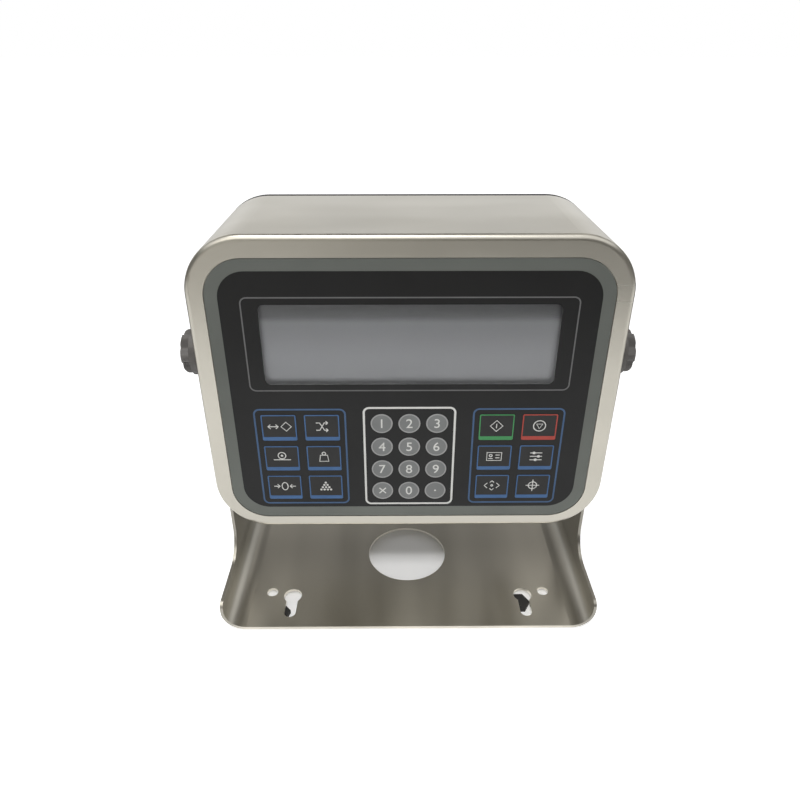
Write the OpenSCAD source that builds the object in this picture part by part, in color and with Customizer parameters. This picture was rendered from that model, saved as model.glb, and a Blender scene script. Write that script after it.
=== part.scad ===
// Weighing indicator in a tilting stainless bracket, in millimetres.
// The origin lies on the floor under the middle of the bracket; the keypad faces -Y.

/* [Housing] */
// Width of the housing
housing_w = 250; // [235:1:300]
// Height of the housing
housing_h = 196; // [190:1:240]
// Depth of the housing from the front rim to the back of the rear cover
housing_d = 103; // [96:1:120]
// Outer radius of the four corners
housing_corner_r = 34; // [26:1:40]
// Thickness of the stainless sheet
sheet_t = 2; // [1.5:0.1:2.5]
// Outer radius of the bends round the front and back edges
edge_bend_r = 3.2; // [2.6:0.1:5]
// How far the face lies in front of the pivot axis
face_forward = 53; // [48:1:60]
// Height of the pivot axis above the middle of the housing
pivot_above_middle = 7; // [0:1:15]

/* [Rear cover] */
// How far the edge of the rear cover lies inside the outline of the housing
cover_inset = 1; // [0.5:0.1:2]
// Thickness of the gasket between the shell and the rear cover
gasket_t = 1.2; // [0.8:0.1:2]
// Width of the turned-in flange at the back of the shell
flange_w = 14; // [12:0.5:16]
// Thread diameter of the rear cover screws
cover_screw_d = 4; // [3:0.5:5]

/* [Keypad] */
// Width of the front rim at each side of the overlay
rim_side_w = 10.5; // [8:0.1:14]
// Width of the front rim above the overlay
rim_top_w = 12.2; // [9:0.1:15]
// Width of the front rim below the overlay
rim_bottom_w = 8.4; // [7:0.1:12]
// Corner radius of the overlay
overlay_corner_r = 23; // [12:1:26]
// How far the overlay lies behind the front rim
overlay_sink = 0.3; // [0.2:0.05:0.6]
// Thickness of the overlay sheet
overlay_t = 0.5; // [0.4:0.05:0.8]
// Thickness of the spacer sheet
spacer_t = 0.8; // [0.7:0.05:1.2]
// Thickness of the circuit sheet
circuit_t = 0.2; // [0.15:0.05:0.4]
// How far a key stands proud of the overlay
key_emboss = 0.2; // [0.1:0.05:0.3]
// Thickness of the retaining flange behind each key
key_flange_t = 0.25; // [0.2:0.05:0.3]
// How far a key's flange reaches behind the overlay
key_flange_reach = 0.7; // [0.5:0.1:0.9]
// Gap round each key in the overlay
key_gap = 0.12; // [0.08:0.02:0.2]
// How far a key travels
key_travel = 0.3; // [0.2:0.02:0.3]
// Diameter of the metal domes
dome_d = 8; // [6:0.5:10]

/* [Number keys] */
// Diameter of a number key
number_key_d = 13.4; // [12:0.1:14]
// Distance between number key columns
number_pitch_x = 17; // [16.2:0.1:19]
// Distance between number key rows
number_pitch_z = 16.9; // [16.2:0.1:17.4]

/* [Function keys] */
// Width of a function key
function_key_w = 21.3; // [19:0.1:22.5]
// Height of a function key
function_key_h = 18.3; // [16:0.1:19]
// Corner radius of a function key
function_key_r = 1; // [0.6:0.1:2]
// Distance between the two columns of a group
function_pitch_x = 26.4; // [25.5:0.1:28]
// Distance between function key rows
function_pitch_z = 22.5; // [21.5:0.1:23]
// Distance from the middle of the housing to the middle of a group
function_group_x = 66.8; // [62:0.1:70]

/* [Display] */
// Width of the clear window
window_w = 170.6; // [150:0.2:180]
// Height of the clear window
window_h = 50; // [40:0.5:54]
// Corner radius of the window
window_r = 3.5; // [2:0.5:6]
// Thickness of the display glass
lcd_t = 2.8; // [2:0.1:4]

/* [Bracket] */
// Thickness of the bracket sheet
bracket_t = 2; // [1.5:0.1:2.5]
// Clearance between the housing and each arm, filled by a friction washer
arm_gap = 2; // [1.5:0.1:3]
// Depth of the bracket base
bracket_d = 148.4; // [146:0.2:160]
// Outer radius of the bends between the base and the arms
bracket_bend_r = 16; // [10:1:20]
// Height of the pivot axis above the underside of the base
pivot_h = 179; // [170:1:200]
// Width of each arm
arm_w = 36; // [32:1:44]
// Height of the low side walls above the underside of the base
wall_h = 22.8; // [20:0.2:30]
// Radius between a side wall's top edge and its arm
arm_fillet_r = 19; // [10:1:24]
// Radius of the side walls' front and back top corners
wall_corner_r = 5; // [3:0.5:8]
// Diameter of the cable hole in the base
cable_hole_d = 60; // [40:1:70]
// Diameter of the small fixing holes
fix_hole_d = 8; // [5:0.5:9]
// Distance from an arm's outer face to the middle of the fixing holes
fix_hole_inset = 29.25; // [24:0.25:34]
// Front to back distance of the fixing holes
fix_hole_spacing_y = 83; // [78:0.5:90]
// Diameter of the keyholes' round heads
keyhole_head_d = 13; // [11:0.5:16]
// Width of the keyholes' slots
keyhole_slot_w = 8.2; // [5:0.1:9]
// Distance from an arm's outer face to the middle of the keyholes
keyhole_inset = 44.7; // [43:0.1:54]
// Distance from the front edge of the base to the ends of the keyhole slots
keyhole_edge = 9; // [6:0.1:12]
// Distance from a keyhole's head centre to the end of its slot
keyhole_run = 20.1; // [16:0.1:22]

/* [Feet] */
// Height of a foot
foot_h = 3; // [2:0.1:5]
// Width of a foot across its flats
foot_af = 14.4; // [12:0.1:16]

/* [Clamp knobs] */
// Distance from the arm's outer face to the end of the knob
knob_reach = 18.4; // [16:0.1:24]
// Radius over the lobes
knob_lobe_r = 14.6; // [12:0.1:18]
// Depth of the valleys between the lobes
knob_valley = 3.8; // [2:0.1:4.5]
// Number of lobes
knob_lobes = 6; // [4:1:8]
// Radius of the knob's collar
knob_collar_r = 15.7; // [13:0.1:19]
// Length of the collar
knob_collar_l = 10.5; // [6:0.5:12]
// Diameter of the clamp studs
stud_d = 8; // [6:0.5:10]
// Thickness of the clamp washers
washer_t = 1.6; // [1:0.1:2.5]

/* [Cable glands] */
// Number of glands
gland_count = 4; // [1:1:5]
// Distance between glands
gland_pitch = 40; // [34:1:44]
// Height of the glands above the lower edge of the housing
gland_rise = 40; // [34:1:48]
// Thread diameter of a gland
gland_thread_d = 16; // [12:1:20]
// Diameter of the cable that a gland takes
gland_cable_d = 7; // [4:0.5:8]
// How far a gland stands out of the rear cover
gland_reach = 23; // [20:0.5:24]

/* [Inside] */
// Thickness of the circuit boards
board_t = 1.6; // [1:0.1:2.4]
// Gap between the flange of the shell and each side of the main board
main_board_side = 16; // [12:1:20]
// Gap between the flange of the shell and the top of the main board
main_board_top = 10; // [8:1:14]
// Height of the main board's lower edge above the middle of the glands
main_board_rise = 40; // [34:1:46]
// Distance from the rear cover to the main board
main_standoff_l = 18; // [14:1:24]
// Distance from the front panel to the display board
display_standoff_l = 12; // [10:0.5:16]
// Thread diameter of the board screws
board_screw_d = 3; // [2.5:0.5:4]

/* [Hidden] */
$fn = 48;
overrun = 1;
fit_gap = 0.05;
soft_gap = 0.3;

// Heights: the floor is at z = 0
base_z = foot_h;
pivot_z = base_z + pivot_h;
housing_z = pivot_z - pivot_above_middle;
arm_in_x = housing_w / 2 + arm_gap;
arm_out_x = arm_in_x + bracket_t;
fix_hole_x = arm_out_x - fix_hole_inset;
keyhole_x = arm_out_x - keyhole_inset;
keyhole_head_y = bracket_d / 2 - keyhole_edge - keyhole_run;

// Where the feet are stuck by hand, as shares of half the bracket's width and depth
foot_place_shares = [[0.624, -0.67], [-0.719, -0.792], [0.65, 0.7], [-0.66, 0.69]];
// How far each foot is turned
foot_turns = [0, 12, 5, 20];

// Planes of the housing, from the front to the back
recess_d = overlay_sink + overlay_t + spacer_t + circuit_t;
rim_y = -face_forward;
recess_y = rim_y + recess_d;
panel_back_y = recess_y + sheet_t;
back_y = rim_y + housing_d;
cover_in_y = back_y - sheet_t;
shell_back_y = cover_in_y - gasket_t;
shell_d = shell_back_y - rim_y;

// Planes of the keypad sheets, which lie on the recess floor
circuit_y = recess_y - circuit_t;
spacer_y = circuit_y - spacer_t;
overlay_y = spacer_y - overlay_t;
overlay_w = housing_w - 2 * rim_side_w;
overlay_h = housing_h - rim_top_w - rim_bottom_w;
overlay_z = housing_z + (rim_bottom_w - rim_top_w) / 2;
overlay_gap = 0.3;
dome_h = spacer_t - key_flange_t - key_travel;
tail_w = 14;
tail_x = 13;
tail_slot_h = circuit_t + 2 * soft_gap;

// Heights on the face: what the window and the keys leave free lies above, between and
// below them in these shares
free_h_shares = [0.4358, 0.3325, 0.2317];
number_block_h = number_key_d + 3 * number_pitch_z;
free_h = overlay_h - window_h - number_block_h;
window_z = overlay_z + overlay_h / 2 - free_h * free_h_shares[0] - window_h / 2;
keys_top_z = window_z - window_h / 2 - free_h * free_h_shares[1];
number_top = keys_top_z - number_key_d / 2 - housing_z;
function_top = number_top - 1.5 * number_pitch_z + function_pitch_z;

// Rear cover screws
cover_screw_inset = flange_w * 0.6;
cover_corner_r = housing_corner_r - cover_screw_inset;
cover_screw_x = housing_w / 2 - housing_corner_r + cover_corner_r * cos(45);
cover_screw_z = housing_h / 2 - housing_corner_r + cover_corner_r * sin(45);
cover_edge_x = housing_w / 2 - cover_screw_inset;
cover_edge_z = housing_h / 2 - cover_screw_inset;
cover_screws = [
    for (x = [-1, 1], z = [-1, 1]) [x * cover_screw_x, z * cover_screw_z],
    for (x = [-1, 1], z = [-1, 1]) [x * cover_screw_x / 3, z * cover_edge_z],
    for (x = [-1, 1]) [x * cover_edge_x, 0]];
cover_screw_head_r = cover_screw_d * 0.95;
cover_screw_head_h = cover_screw_d * 0.6;
cover_screw_l = sheet_t + gasket_t + sheet_t + cover_screw_d;
cover_hole_r = cover_screw_d / 2 + soft_gap;

// Display stack
window_lip = 2.6;
window_t = spacer_t + circuit_t + sheet_t / 2;
window_cut_w = window_w + 2 * (window_lip + overlay_gap);
window_cut_h = window_h + 2 * (window_lip + overlay_gap);
tail_z = (window_z - window_cut_h / 2 + keys_top_z) / 2;
display_setback = 0.8;
display_y = panel_back_y + display_setback;
display_lip = 6;
bezel_wall = 2;
glass_w = window_w + 2 * display_lip;
glass_h = window_h + 2 * display_lip;
bezel_w = glass_w + 2 * (bezel_wall + fit_gap);
bezel_h = glass_h + 2 * (bezel_wall + fit_gap);
display_board_y = panel_back_y + display_standoff_l;
board_margin = 9;
display_board_w = bezel_w;
display_board_h = bezel_h + 2 * board_margin;

// Board posts and screws
post_r = board_screw_d;
post_inset = board_margin / 2;
post_bore_l = 3 * board_screw_d;
board_screw_l = board_t + 2 * board_screw_d;
board_screw_head_r = board_screw_d * 0.9;
board_screw_head_h = board_screw_d * 0.6;
board_hole_r = board_screw_d / 2 + soft_gap;

// Main board, carried by posts on the rear cover
main_back_y = cover_in_y - main_standoff_l;
main_front_y = main_back_y - board_t;
gland_z = housing_z - housing_h / 2 + gland_rise;
main_low_z = gland_z + main_board_rise;
main_high_z = housing_z + housing_h / 2 - flange_w - main_board_top;
main_board_w = housing_w - 2 * (flange_w + main_board_side);
main_board_h = main_high_z - main_low_z;
main_z = (main_low_z + main_high_z) / 2;
display_back_y = display_board_y + board_t;
ribbon_w = 26;
ribbon_t = 1.2;
ribbon_x = -main_board_w * 0.21;
header_h = 8;
header_z = main_z - header_h / 2;
header_back = 4;
ribbon_inset = 12;
ribbon_r = (main_front_y - display_back_y) / 2 - ribbon_inset;
ribbon_y = (main_front_y + display_back_y) / 2;
header_d = ribbon_inset + header_back;
terminal_w = main_board_w * 0.158;
terminal_h = 10;
parts_low = terminal_h + board_t - main_board_h / 2;
parts_h = main_board_h / 2 - parts_low;
core_w = 40;
core_h = 36;
core_d = 32;
core_x = main_board_w / 2 - 2 * post_inset - core_w / 2;
core_z = main_z + parts_low + parts_h * 0.6;
coil_share = 0.62;
coil_bulge = core_d / 8;
chip_w = 22;
chip_t = 3;
chip_x = main_board_w * 0.37;
chip_z = parts_low + parts_h * 0.67;
part_gap = 1.5;
capacitor_r = 6;
capacitor_l = 25;
capacitor_x = chip_w / 2 + part_gap + capacitor_r;
battery_r = 8;
battery_t = 3.2;
battery_z = parts_low + parts_h * 0.22;
terminal_d = 12;
terminal_wire_r = 1.6;

// Pivot parts
stud_r = stud_d / 2;
pivot_gap = 0.08;
pivot_hole_r = stud_r + pivot_gap;
insert_r = stud_r * 1.5;
insert_flange_r = stud_d * 1.25;
insert_l = stud_d * 1.6;
knob_end_x = arm_out_x + knob_reach;
clamp_washer_r = knob_collar_r - 1;
collar_x = arm_out_x + washer_t;
head_x = collar_x + knob_collar_l;
stud_in_x = housing_w / 2 - insert_l;
stud_out_x = knob_end_x - stud_r;
knob_mean_r = knob_lobe_r - knob_valley / 2;
knob_round = 3.2;
knob_turn = 34;
knob_points = 90;

// Cable glands
gland_r = gland_thread_d / 2;
gland_hex_r = gland_r * 1.44;
gland_hex_l = gland_r * 0.6;
gland_neck_l = gland_r * 1.2;
gland_bore_r = gland_r * 0.72;
gland_barrel_l = sheet_t + gland_r;
gland_locknut_t = gland_r * 0.55;
gland_end_y = back_y + gland_reach;
gland_hex_y = back_y + gland_hex_l;
gland_neck_y = gland_hex_y + gland_neck_l;
gland_nut_gap = 0.4;
gland_nut_y = gland_hex_y + gland_nut_gap;
gland_nut_lip = 1;
gland_mouth_r = gland_cable_d / 2 + gland_nut_lip;
gland_nut_hex_l = gland_r * 0.9;
gland_dome_r = gland_r * 1.25;
gland_seal_y = back_y + gland_hex_l / 2;
gland_seal_l = gland_neck_l + gland_hex_l / 2;
gland_nose_y = gland_seal_y + gland_seal_l + gland_r * 0.4;
vent_inset = 31;
vent_rise = 30;
vent_x = housing_w / 2 - vent_inset;
vent_z = gland_z + vent_rise;
vent_r = gland_r * 0.6;
vent_head_r = gland_r;
vent_head_l = gland_r * 0.7;

// Rows of the keypad: each place is [x, z] from the middle of the housing
function number_place(i) =
    [(i % 3 - 1) * number_pitch_x, number_top - floor(i / 3) * number_pitch_z];
function function_place(side, i) =
    [side * function_group_x + (i % 2 - 0.5) * function_pitch_x,
     function_top - floor(i / 2) * function_pitch_z];

// Flat shapes

// Rectangle w by h with round corners, about the origin
module round_rect(w, h, r) {
    square([w - 2 * r, h], center = true);
    square([w, h - 2 * r], center = true);
    for (x = [-1, 1], y = [-1, 1]) translate([x * (w / 2 - r), y * (h / 2 - r)]) circle(r);
}

// Stands a flat XZ shape up, from y = y0 to y = y1
module upright(y0, y1) {
    translate([0, y1, 0]) rotate([90, 0, 0]) linear_extrude(y1 - y0) children();
}

// Lays a flat YZ shape across, from x = x0 to x = x1
module across(x0, x1) {
    translate([x0, 0, 0]) rotate([90, 0, 90]) linear_extrude(x1 - x0) children();
}

// Moves to a place on the face, at [x, z] from the middle of the housing
module at_face(place) {
    translate([place[0], 0, housing_z + place[1]]) children();
}

// A rod along Y from y0 to y1
module rod_y(y0, y1, r, sides = $fn) {
    translate([0, y0, 0]) rotate([-90, 0, 0]) cylinder(h = y1 - y0, r = r, $fn = sides);
}

// A rod along X from x0 to x1
module rod_x(x0, x1, r, sides = $fn) {
    translate([x0, 0, 0]) rotate([0, 90, 0]) cylinder(h = x1 - x0, r = r, $fn = sides);
}

// Puts a piece that is drawn for the right side on either side
module on_side(side) {
    if (side > 0) children();
    else mirror([1, 0, 0]) children();
}

// Sweeps a profile round a rounded rectangle in the XZ plane. The profile's x runs outwards
// from the corners' centres and its y runs back along +Y from the front rim.
module sweep_round(w, h, r) {
    translate([0, rim_y, housing_z]) rotate([-90, 0, 0])
        for (i = [0:3]) {
            reach = (i % 2 == 0 ? w : h) / 2 - r;
            run = (i % 2 == 0 ? h : w) - 2 * r;
            rotate([0, 0, 90 * i]) translate([reach, run / 2, 0]) {
                rotate([90, 0, 0]) linear_extrude(run) children();
                rotate_extrude(angle = 90) children();
            }
        }
}

// Bent corner of a sheet: a quarter ring about the origin, in the quarter of sx and sy
module bend(r, t, sx, sy) {
    intersection() {
        difference() {
            circle(r);
            circle(r - t);
        }
        translate([sx > 0 ? 0 : -r, sy > 0 ? 0 : -r]) square(r);
    }
}

// Bracket

// Cross-section between the arms, seen from the front
module channel(half, low, r, top) {
    translate([-half + r, low]) square([2 * (half - r), top - low]);
    translate([-half, low + r]) square([2 * half, top - low - r]);
    for (x = [-1, 1]) translate([x * (half - r), low + r]) circle(r);
}

// Outline of the bracket seen from the side
module bracket_side() {
    half = bracket_d / 2;
    wall_top = base_z + wall_h;
    translate([-half, 0]) square([bracket_d, wall_top - wall_corner_r]);
    translate([-half + wall_corner_r, 0]) square([bracket_d - 2 * wall_corner_r, wall_top]);
    for (y = [-1, 1]) {
        translate([y * (half - wall_corner_r), wall_top - wall_corner_r]) circle(wall_corner_r);
        difference() {
            translate([y * (arm_w + arm_fillet_r) / 2, wall_top + arm_fillet_r / 2])
                square(arm_fillet_r, center = true);
            translate([y * (arm_w / 2 + arm_fillet_r), wall_top + arm_fillet_r])
                circle(arm_fillet_r);
        }
    }
    translate([-arm_w / 2, 0]) square([arm_w, pivot_z]);
    translate([0, pivot_z]) circle(arm_w / 2);
}

module keyhole() {
    slot_r = keyhole_slot_w / 2;
    cylinder(h = 2 * bracket_t, r = keyhole_head_d / 2);
    translate([-slot_r, slot_r - keyhole_run, 0])
        cube([keyhole_slot_w, keyhole_run - slot_r, 2 * bracket_t]);
    translate([0, slot_r - keyhole_run, 0]) cylinder(h = 2 * bracket_t, r = slot_r);
}

module tilt_bracket() {
    top = pivot_z + arm_w;
    color("silver") difference() {
        intersection() {
            upright(-bracket_d / 2, bracket_d / 2) difference() {
                channel(arm_out_x, base_z, bracket_bend_r, top);
                channel(arm_in_x, base_z + bracket_t, bracket_bend_r - bracket_t, top + overrun);
            }
            across(-arm_out_x - overrun, arm_out_x + overrun) bracket_side();
        }
        translate([0, 0, base_z - bracket_t / 2]) {
            cylinder(h = 2 * bracket_t, r = cable_hole_d / 2);
            for (x = [-1, 1]) {
                for (y = [-1, 1])
                    translate([x * fix_hole_x, y * fix_hole_spacing_y / 2, 0])
                        cylinder(h = 2 * bracket_t, r = fix_hole_d / 2);
                translate([x * keyhole_x, -keyhole_head_y, 0]) keyhole();
            }
        }
        translate([0, 0, pivot_z])
            rod_x(-arm_out_x - overrun, arm_out_x + overrun, pivot_hole_r);
    }
}

module bracket_feet() {
    color("dimgray") for (i = [0:len(foot_turns) - 1])
        translate([foot_place_shares[i][0] * arm_out_x, foot_place_shares[i][1] * bracket_d / 2, 0])
            rotate([0, 0, foot_turns[i]])
                cylinder(h = foot_h, r = foot_af / 2 / cos(30), $fn = 6);
}

// Pivot parts

module friction_washers() {
    color("black") for (side = [-1, 1]) on_side(side) translate([0, 0, pivot_z]) difference() {
        rod_x(housing_w / 2, arm_in_x, clamp_washer_r);
        rod_x(housing_w / 2 - overrun, arm_in_x + overrun, stud_r + soft_gap);
    }
}

module pivot_inserts() {
    in_x = housing_w / 2 - sheet_t;
    color("gainsboro") for (side = [-1, 1]) on_side(side) translate([0, 0, pivot_z]) difference() {
        union() {
            rod_x(stud_in_x, housing_w / 2, insert_r);
            rod_x(in_x - sheet_t, in_x, insert_flange_r);
        }
        rod_x(stud_in_x - overrun, housing_w / 2 + overrun, stud_r + fit_gap);
    }
}

module clamp_washer(side) {
    color("silver") on_side(side) translate([0, 0, pivot_z]) difference() {
        rod_x(arm_out_x, collar_x, clamp_washer_r);
        rod_x(arm_out_x - overrun, collar_x + overrun, pivot_hole_r);
    }
}

module clamp_stud(side) {
    color("silver") on_side(side) translate([0, 0, pivot_z]) rod_x(stud_in_x, stud_out_x, stud_r);
}

// Outline of the knob's head: a circle whose radius swells at each lobe
module knob_outline() {
    swell = knob_valley / 2;
    polygon([for (i = [0:knob_points - 1])
        let (a = 360 * i / knob_points, r = knob_mean_r + swell * cos(knob_lobes * (a - knob_turn)))
        [r * sin(a), r * cos(a)]]);
}

// Half profile that rounds off the outer end of the head
module knob_round_profile(l) {
    square([knob_lobe_r - knob_round, l]);
    square([knob_lobe_r, l - knob_round]);
    translate([knob_lobe_r - knob_round, l - knob_round]) circle(knob_round);
}

module clamp_knob(side) {
    head_l = knob_end_x - head_x;
    color("#2b2b2b") on_side(side) translate([0, 0, pivot_z]) difference() {
        union() {
            rod_x(collar_x, head_x, knob_collar_r);
            intersection() {
                across(head_x, knob_end_x) knob_outline();
                translate([head_x, 0, 0]) rotate([0, 90, 0]) rotate_extrude()
                    intersection() {
                        knob_round_profile(head_l);
                        square([knob_lobe_r, head_l]);
                    }
            }
        }
        rod_x(collar_x - overrun, stud_out_x + fit_gap, stud_r + fit_gap);
    }
}

// Housing

// Profile of the shell: wall, front bend, back bend and back flange
module shell_profile() {
    r = housing_corner_r;
    b = edge_bend_r;
    translate([r - sheet_t, b]) square([sheet_t, shell_d - 2 * b]);
    translate([r - b, b]) bend(b, sheet_t, 1, -1);
    translate([r - b, shell_d - b]) bend(b, sheet_t, 1, 1);
    translate([r - flange_w, shell_d - sheet_t]) square([flange_w - b, sheet_t]);
}

// Outline of the keypad recess
module recess_outline(grow = 0) {
    translate([0, overlay_z])
        round_rect(overlay_w + 2 * grow, overlay_h + 2 * grow, overlay_corner_r + grow);
}

module window_outline(w, h, r) {
    translate([0, window_z]) round_rect(w, h, r);
}

module housing_shell() {
    b = edge_bend_r;
    color("silver") difference() {
        union() {
            sweep_round(housing_w, housing_h, housing_corner_r) shell_profile();
            upright(rim_y, rim_y + sheet_t) difference() {
                translate([0, housing_z])
                    round_rect(housing_w - 2 * b, housing_h - 2 * b, housing_corner_r - b);
                recess_outline();
            }
            upright(rim_y, panel_back_y) difference() {
                recess_outline(sheet_t);
                recess_outline();
            }
            upright(recess_y, panel_back_y) recess_outline(sheet_t);
        }
        upright(recess_y - overrun, panel_back_y + overrun) {
            window_outline(window_cut_w, window_cut_h, window_r + window_lip);
            translate([tail_x, tail_z]) square([tail_w + 2 * soft_gap, tail_slot_h], center = true);
        }
        translate([0, 0, pivot_z])
            rod_x(-housing_w / 2 - overrun, housing_w / 2 + overrun, insert_r + fit_gap);
        for (p = cover_screws) at_face(p)
            rod_y(shell_back_y - sheet_t - overrun, shell_back_y + overrun,
                cover_screw_d / 2 + fit_gap);
    }
}

// Outline of the rear cover
module cover_outline() {
    translate([0, housing_z])
        round_rect(housing_w - 2 * cover_inset, housing_h - 2 * cover_inset,
            housing_corner_r - cover_inset);
}

// Moves to each gland in turn
module at_glands() {
    for (i = [0:gland_count - 1])
        translate([(i - (gland_count - 1) / 2) * gland_pitch, 0, gland_z]) children();
}

module rear_cover() {
    color("silver") difference() {
        upright(cover_in_y, back_y) cover_outline();
        for (p = cover_screws) at_face(p)
            rod_y(cover_in_y - overrun, back_y + overrun, cover_hole_r);
        at_glands() rod_y(cover_in_y - overrun, back_y + overrun, gland_r + fit_gap);
        translate([vent_x, 0, vent_z])
            rod_y(cover_in_y - overrun, back_y + overrun, vent_r + fit_gap);
    }
}

module rear_gasket() {
    color("black") difference() {
        upright(shell_back_y, cover_in_y) difference() {
            translate([0, housing_z]) round_rect(housing_w, housing_h, housing_corner_r);
            translate([0, housing_z]) round_rect(housing_w - 2 * flange_w,
                housing_h - 2 * flange_w, housing_corner_r - flange_w);
        }
        for (p = cover_screws) at_face(p)
            rod_y(shell_back_y - overrun, cover_in_y + overrun, cover_hole_r);
    }
}

module rear_screws() {
    color("gainsboro") for (p = cover_screws) at_face(p) {
        rod_y(back_y - cover_screw_l, back_y, cover_screw_d / 2);
        difference() {
            rod_y(back_y, back_y + cover_screw_head_h, cover_screw_head_r);
            rod_y(back_y + cover_screw_head_h / 2, back_y + cover_screw_head_h + overrun,
                cover_screw_d / 3, 6);
        }
    }
}

// Keypad

// Outline of each number key, grown by a margin
module number_outlines(grow) {
    for (i = [0:11]) translate(number_place(i) + [0, housing_z]) circle(number_key_d / 2 + grow);
}

// Outline of one function key, grown by a margin
module function_outline(grow) {
    round_rect(function_key_w + 2 * grow, function_key_h + 2 * grow, function_key_r + grow);
}

// Outline of each function key, grown by a margin
module function_outlines(grow) {
    for (side = [-1, 1], i = [0:5])
        translate(function_place(side, i) + [0, housing_z]) function_outline(grow);
}

module keypad_overlay() {
    color("#232322") upright(overlay_y, spacer_y) difference() {
        recess_outline(-overlay_gap);
        window_outline(window_w, window_h, window_r);
        number_outlines(key_gap);
        function_outlines(key_gap);
    }
}

module keypad_spacer() {
    pocket = key_flange_reach + key_gap;
    color("ivory") upright(spacer_y, circuit_y) difference() {
        recess_outline(-overlay_gap);
        window_outline(window_cut_w, window_cut_h, window_r + window_lip);
        number_outlines(pocket);
        function_outlines(pocket);
    }
}

module keypad_circuit() {
    color("khaki") {
        upright(circuit_y, recess_y) difference() {
            recess_outline(-overlay_gap);
            window_outline(window_cut_w, window_cut_h, window_r + window_lip);
        }
        upright(circuit_y, display_board_y)
            translate([tail_x, tail_z]) square([tail_w, circuit_t], center = true);
    }
}

module dome(place) {
    at_face(place) translate([0, circuit_y, 0]) rotate([90, 0, 0])
        cylinder(h = dome_h, r1 = dome_d / 2, r2 = dome_d / 4);
}

module key_domes() {
    color("silver") {
        for (i = [0:11]) dome(number_place(i));
        for (side = [-1, 1], i = [0:5]) dome(function_place(side, i));
    }
}

module number_key(i) {
    r = number_key_d / 2;
    color("gray") at_face(number_place(i)) {
        rod_y(overlay_y - key_emboss, spacer_y, r);
        rod_y(spacer_y, spacer_y + key_flange_t, r + key_flange_reach);
    }
}

module function_key(side, i) {
    color("#2e2e2e") at_face(function_place(side, i)) {
        upright(overlay_y - key_emboss, spacer_y) function_outline(0);
        upright(spacer_y, spacer_y + key_flange_t) function_outline(key_flange_reach);
    }
}

// Display

module display_window() {
    color("lightgray", 0.4) {
        upright(overlay_y, spacer_y) window_outline(window_w - 2 * fit_gap,
            window_h - 2 * fit_gap, window_r);
        upright(spacer_y, spacer_y + window_t) window_outline(window_w + 2 * window_lip,
            window_h + 2 * window_lip, window_r + window_lip);
    }
}

module display_bezel() {
    color("#202020") difference() {
        upright(panel_back_y, display_board_y) window_outline(bezel_w, bezel_h, bezel_wall);
        upright(panel_back_y - overrun, display_y + overrun)
            window_outline(window_cut_w, window_cut_h, window_r + window_lip);
        translate([0, 0, window_z]) upright(display_y, display_board_y + overrun)
            square([glass_w + 2 * fit_gap, glass_h + 2 * fit_gap], center = true);
    }
}

module display_glass() {
    color("slategray") translate([0, 0, window_z])
        upright(display_y, display_y + lcd_t) square([glass_w, glass_h], center = true);
}

module display_backlight() {
    color("white") translate([0, 0, window_z])
        upright(display_y + lcd_t, display_board_y) square([glass_w, glass_h], center = true);
}

// Corner places of a board's posts
function post_places(w, h) =
    [for (x = [-1, 1], z = [-1, 1]) [x * (w / 2 - post_inset), z * (h / 2 - post_inset)]];

display_posts = [for (p = post_places(display_board_w, display_board_h))
    p + [0, window_z - housing_z]];
main_posts = [for (p = post_places(main_board_w, main_board_h)) p + [0, main_z - housing_z]];

module board(w, h, z, y, posts) {
    color("darkgreen") difference() {
        translate([-w / 2, y, z - h / 2]) cube([w, board_t, h]);
        for (p = posts) at_face(p) rod_y(y - overrun, y + board_t + overrun, board_hole_r);
    }
}

module display_board() {
    board(display_board_w, display_board_h, window_z, display_board_y, display_posts);
}

module display_standoffs() {
    color("silver") for (p = display_posts) at_face(p) difference() {
        rod_y(panel_back_y, display_board_y, post_r);
        rod_y(display_board_y - post_bore_l, display_board_y + overrun,
            board_screw_d / 2 + fit_gap);
    }
}

module main_board() {
    board(main_board_w, main_board_h, main_z, main_front_y, main_posts);
}

module main_standoffs() {
    color("silver") for (p = main_posts) at_face(p) difference() {
        rod_y(main_back_y, cover_in_y, post_r);
        rod_y(main_back_y - overrun, main_back_y + post_bore_l, board_screw_d / 2 + fit_gap);
    }
}

module board_screws() {
    color("gainsboro") {
        for (p = display_posts) at_face(p) {
            rod_y(display_back_y - board_screw_l, display_back_y, board_screw_d / 2);
            rod_y(display_back_y, display_back_y + board_screw_head_h, board_screw_head_r);
        }
        for (p = main_posts) at_face(p) {
            rod_y(main_front_y, main_front_y + board_screw_l, board_screw_d / 2);
            rod_y(main_front_y - board_screw_head_h, main_front_y, board_screw_head_r);
        }
    }
}

// Low box on the front of the main board, with its middle at [x, z] from the board's middle
module on_main(x, z, w, h, d) {
    translate([x - w / 2, main_front_y - d, main_z + z - h / 2]) cube([w, d, h]);
}

module board_parts() {
    color("#303030") {
        on_main(0, chip_z, chip_w, chip_w, chip_t);
        on_main(-chip_x, chip_z, chip_w * 0.8, chip_w * 0.5, chip_t);
        on_main(-chip_x, battery_z, chip_w * 0.5, chip_w * 0.8, chip_t);
        for (side = [-1, 1])
            translate([capacitor_x, 0, main_z + chip_z + side * (capacitor_r + part_gap / 2)])
                rod_y(main_front_y - capacitor_l, main_front_y, capacitor_r);
        translate([0, 0, main_z + battery_z])
            rod_y(main_front_y - battery_t, main_front_y, battery_r);
        for (y = [display_back_y, main_front_y - header_d])
            translate([ribbon_x - ribbon_w / 2 - ribbon_t, y, header_z])
                cube([ribbon_w + 2 * ribbon_t, header_d, header_h]);
    }
}

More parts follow.
